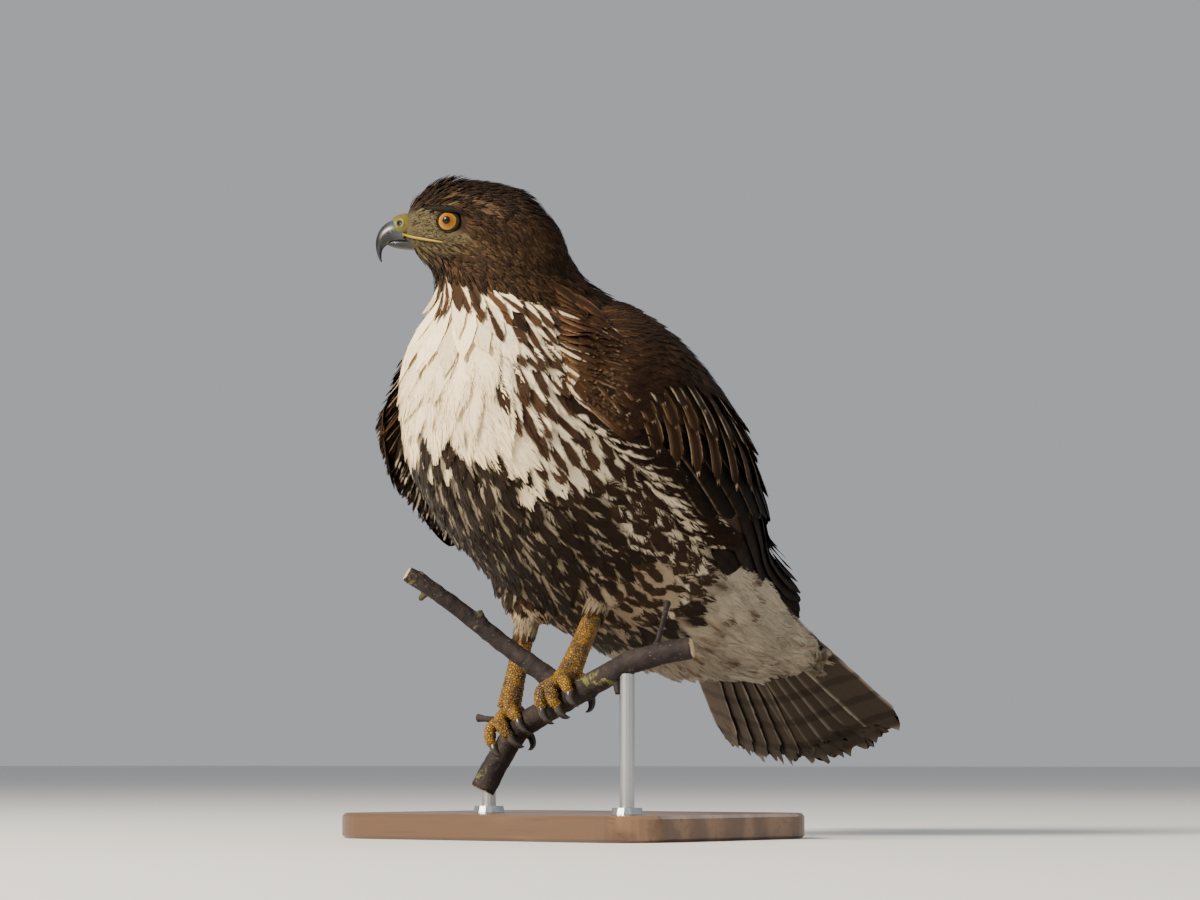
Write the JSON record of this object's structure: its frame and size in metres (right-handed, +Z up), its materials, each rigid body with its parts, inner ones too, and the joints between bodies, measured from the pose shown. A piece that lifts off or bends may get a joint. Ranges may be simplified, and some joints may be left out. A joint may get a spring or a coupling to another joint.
{
  "type": "bird of prey figure",
  "caption": "Life-size perched red-tailed hawk with its head turned aside, gripping a cut forked branch on a flat display stand.",
  "frame": {"origin": "middle of the display stand's underside", "axes": "+Z up, -Y the way the bird's breast faces, +X towards the bird's left side"},
  "size_m": [0.252, 0.4146, 0.41],
  "materials": {
    "breast_feathers": "soft cream feathers with dark brown streaks",
    "brown_feathers": "soft dark brown feathers with tan edges",
    "flight_feathers": "smooth blackish brown vanes with pale edges",
    "horn": "polished dark horn",
    "yellow_skin": "waxy scaled yellow skin",
    "eye": "wet clear surface over a yellow-orange iris",
    "bark": "grey-brown bark with yellow-green lichen",
    "stand_wood": "satin varnished hardwood",
    "stand_metal": "fine brushed steel"
  },
  "bodies": {
    "root": {"torso": "breast_feathers", "neck": "brown_feathers", "head": "brown_feathers", "eye_left": "eye", "eye_right": "eye", "bill_upper": "horn", "bill_lower": "horn", "cere": "yellow_skin", "tail": "flight_feathers", "wing_left": "flight_feathers", "wing_right": "flight_feathers", "thigh_left": "breast_feathers", "tarsus_left": "yellow_skin", "foot_left": "yellow_skin", "claw_left_hind": "horn", "claw_left_inner": "horn", "claw_left_middle": "horn", "claw_left_outer": "horn", "thigh_right": "breast_feathers", "tarsus_right": "yellow_skin", "foot_right": "yellow_skin", "claw_right_hind": "horn", "claw_right_inner": "horn", "claw_right_middle": "horn", "claw_right_outer": "horn", "perch": "bark", "stand_base": "stand_wood", "stand_rod_left": "stand_metal", "stand_rod_right": "stand_metal"}
  },
  "joints": []
}
